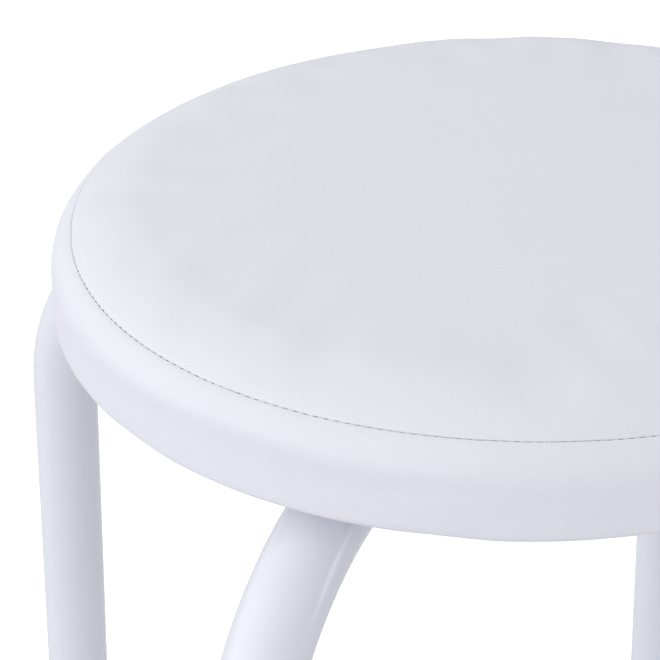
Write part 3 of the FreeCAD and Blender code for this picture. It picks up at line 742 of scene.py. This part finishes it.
def seam_stitches():
    """Thread that shows between the two rolled edges, one short length for each stitch."""
    grower = Grower("seam_stitches")
    depth = 0.34 * MM
    length = grower.size("Length", 2.3 * MM)
    thickness = grower.size("Thickness", 0.4 * MM)
    radius = grower.size("Radius", SEAM_RADIUS - depth)
    height = grower.size("Height", SEAM_Z - depth)
    count = grower.size("Count", round(2 * math.pi * SEAM_RADIUS / STITCH_PITCH), "Int")
    inputs = {"Segments": 8, "Rings": 6, "Radius": 0.5}
    ball = grower.add("GeometryNodeMeshUVSphere", None, inputs)
    inputs = {"X": thickness, "Y": thickness, "Z": length}
    size = grower.add("ShaderNodeCombineXYZ", None, inputs)
    stitch = grower.add("GeometryNodeTransform", None, {"Geometry": ball, "Scale": size})
    inputs = {"Resolution": 256, "Radius": radius}
    ring = grower.add("GeometryNodeCurvePrimitiveCircle", None, inputs)
    lifted = grower.add("ShaderNodeCombineXYZ", None, {"Z": height})
    ring = grower.add("GeometryNodeTransform", None, {"Geometry": ring, "Translation": lifted})
    inputs = {"Curve": ring, "Count": count}
    points = grower.add("GeometryNodeCurveToPoints", {"mode": "COUNT"}, inputs)
    turned = points.node.outputs["Rotation"]
    inputs = {"Points": points, "Instance": stitch, "Rotation": turned}
    placed = grower.add("GeometryNodeInstanceOnPoints", None, inputs)
    stitches = grower.grow("seam_stitches", placed, THREAD)
    for corner in stitches.data.vertices:
        turn = math.atan2(corner.co.y, corner.co.x)
        seam = (SEAM_RADIUS * math.cos(turn), SEAM_RADIUS * math.sin(turn), SEAM_Z)
        corner.co += Vector(out_of_true(seam))
    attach(stitches, "root")


# Dust cover

FLEECE_THICKNESS = 0.6 * MM
FLEECE_SEGMENTS = 200
FLEECE_STAPLES = 20
HEM_STEP = HEM_RADIUS - 1.5 * MM
SCREW_HOLE_RADIUS = 4.5 * MM


def fleece_height(reach, turn):
    """Level of the fleece: on the board, then stepped over the hem, with slack at the edge."""
    x, y = reach * math.cos(turn), reach * math.sin(turn)
    over = min(max((reach - HEM_STEP + 2 * MM) / (4 * MM), 0), 1)
    over = over * over * (3 - 2 * over)
    level = BOARD_LOW.z + (UNDERSIDE_Z - BOARD_LOW.z) * over
    edge = max(0.0, (reach - HEM_STEP) / (FLEECE_RADIUS - HEM_STEP))
    slack = 0.5 - 0.5 * math.cos(FLEECE_STAPLES * (turn - LEG_TURNS[0]) + math.pi)
    lumps = 0.15 * MM * abs(sway(x, y, 0, 22 * MM, seed=4.4))
    return level - (0.35 * MM * edge * slack + lumps) * min(1.0, reach / (60 * MM))


def fleece_sheet():
    """The dust cover, stretched over the board and the hem, with holes for the screws."""
    before, after = HEM_STEP - 3 * MM, HEM_STEP + 3 * MM
    reaches = spread(4 * MM, before, 5 * MM) + spread(before, after, 1.5 * MM)[1:]
    reaches += spread(after, FLEECE_RADIUS, 2.2 * MM)[1:]
    points = []
    for reach in reaches:
        for k in range(FLEECE_SEGMENTS):
            turn = 2 * math.pi * k / FLEECE_SEGMENTS
            height = fleece_height(reach, turn)
            points.append((reach * math.cos(turn), reach * math.sin(turn), height))
    middle = (0, 0, BOARD_LOW.z)
    faces = ring_faces(len(reaches), FLEECE_SEGMENTS) + fan(len(points), 0, FLEECE_SEGMENTS)
    points.append(middle)
    screws = [Vector((math.cos(turn), math.sin(turn))) * SCREW_REACH for turn in LEG_TURNS]

    def solid(face):
        centre = sum((Vector(points[i][:2]) for i in face), Vector((0, 0))) / len(face)
        return all((centre - screw).length > SCREW_HOLE_RADIUS for screw in screws)

    faces = [face[::-1] for face in faces if solid(face)]
    sheet = new_piece("dust_cover_sheet", points, faces, FLEECE)
    thick = sheet.modifiers.new("thick", "SOLIDIFY")
    thick.thickness = FLEECE_THICKNESS
    thick.offset = 1
    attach(sheet, "root")
    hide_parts("dust_cover")


# Studio

BRIGHT_SIDE = Vector((-1, 0, 0.1)).normalized()
ROOM_COLOUR = (0.985, 0.99, 1.02, 1)
ROOM_LIGHT = 0.724
BRIGHT_WALL = 0.97
BRIGHT_FALL_OFF = 4
DARK_WALL = 0.36
DARK_FALL_OFF = 8
FLOOR_HALF = 15.0
FLOOR_GREY = (0.71, 0.715, 0.75)
FLOOR_GLOW = 0.076
FLOOR_SEEN = 0.5
STRIP_PLACE = Vector((1.4, -0.62, 0.2))
STRIP_AIM = Vector((0, 0, 0.36))
STRIP_SIZE = (0.26, 0.5)
STRIP_POWER = 0.62


def room():
    """A pale room all round, brightest on the left wall and darkest on the right one."""
    world = bpy.data.worlds.new("pale_room")
    world.use_nodes = True
    walls = Shading(world.node_tree)
    facing = walls.add("ShaderNodeTexCoord", output="Generated")
    settings = {"operation": "DOT_PRODUCT"}
    towards = walls.add("ShaderNodeVectorMath", settings, (facing, BRIGHT_SIDE), output="Value")
    bright = (0.5 + towards * 0.5) ** BRIGHT_FALL_OFF * BRIGHT_WALL
    dark = (0.5 - towards * 0.5) ** DARK_FALL_OFF * DARK_WALL
    background = walls.tree.nodes["Background"]
    walls.give(background.inputs["Color"], ROOM_COLOUR)
    walls.give(background.inputs["Strength"], bright + ROOM_LIGHT - dark)
    bpy.context.scene.world = world


def floor():
    """A plain floor that looks white and gives back the light of a greyer one."""
    pale = Finish("pale_floor", FLOOR_GREY, 0.9)
    seen = pale.add("ShaderNodeLightPath")
    pale.set("Emission Color", seen * FLOOR_SEEN + FLOOR_GLOW)
    pale.set("Emission Strength", 1.0)
    signs = [(-1, -1), (1, -1), (1, 1), (-1, 1)]
    corners = [(x * FLOOR_HALF, y * FLOOR_HALF, 0) for x, y in signs]
    new_piece("floor", corners, [(0, 1, 2, 3)], pale.material, smooth=False)


def low_strip():
    """A softbox low on the right, which draws the streak along the near leg."""
    data = bpy.data.lights.new("low_strip", "AREA")
    data.shape = "RECTANGLE"
    data.size, data.size_y = STRIP_SIZE
    data.energy = STRIP_POWER
    light = bpy.data.objects.new("low_strip", data)
    light.location = STRIP_PLACE
    light.rotation_euler = (STRIP_AIM - STRIP_PLACE).to_track_quat("-Z", "Y").to_euler()
    bpy.context.scene.collection.objects.link(light)


def photo_camera():
    """The camera at the photograph's angle."""
    yaw, pitch, roll = (math.radians(a) for a in (CAMERA_YAW, CAMERA_PITCH, CAMERA_ROLL))
    level = math.cos(pitch)
    forward = Vector((math.sin(yaw) * level, math.cos(yaw) * level, -math.sin(pitch)))
    right = Vector((math.cos(yaw), -math.sin(yaw), 0))
    up = right.cross(forward)
    across = right * math.cos(roll) + up * math.sin(roll)
    above = up * math.cos(roll) - right * math.sin(roll)
    data = bpy.data.cameras.new("photo_camera")
    data.sensor_width = SENSOR
    data.lens = CAMERA_LENS
    camera = bpy.data.objects.new("photo_camera", data)
    turned = Matrix((across, above, -forward)).transposed().to_4x4()
    camera.matrix_world = Matrix.Translation(CAMERA_PLACE) @ turned
    bpy.context.scene.collection.objects.link(camera)
    bpy.context.scene.camera = camera


dress_frame()
seat_cover()
seat_foam()
seam_stitches()
fleece_sheet()

bpy.context.scene.view_settings.view_transform = "Standard"
room()
floor()
low_strip()
photo_camera()
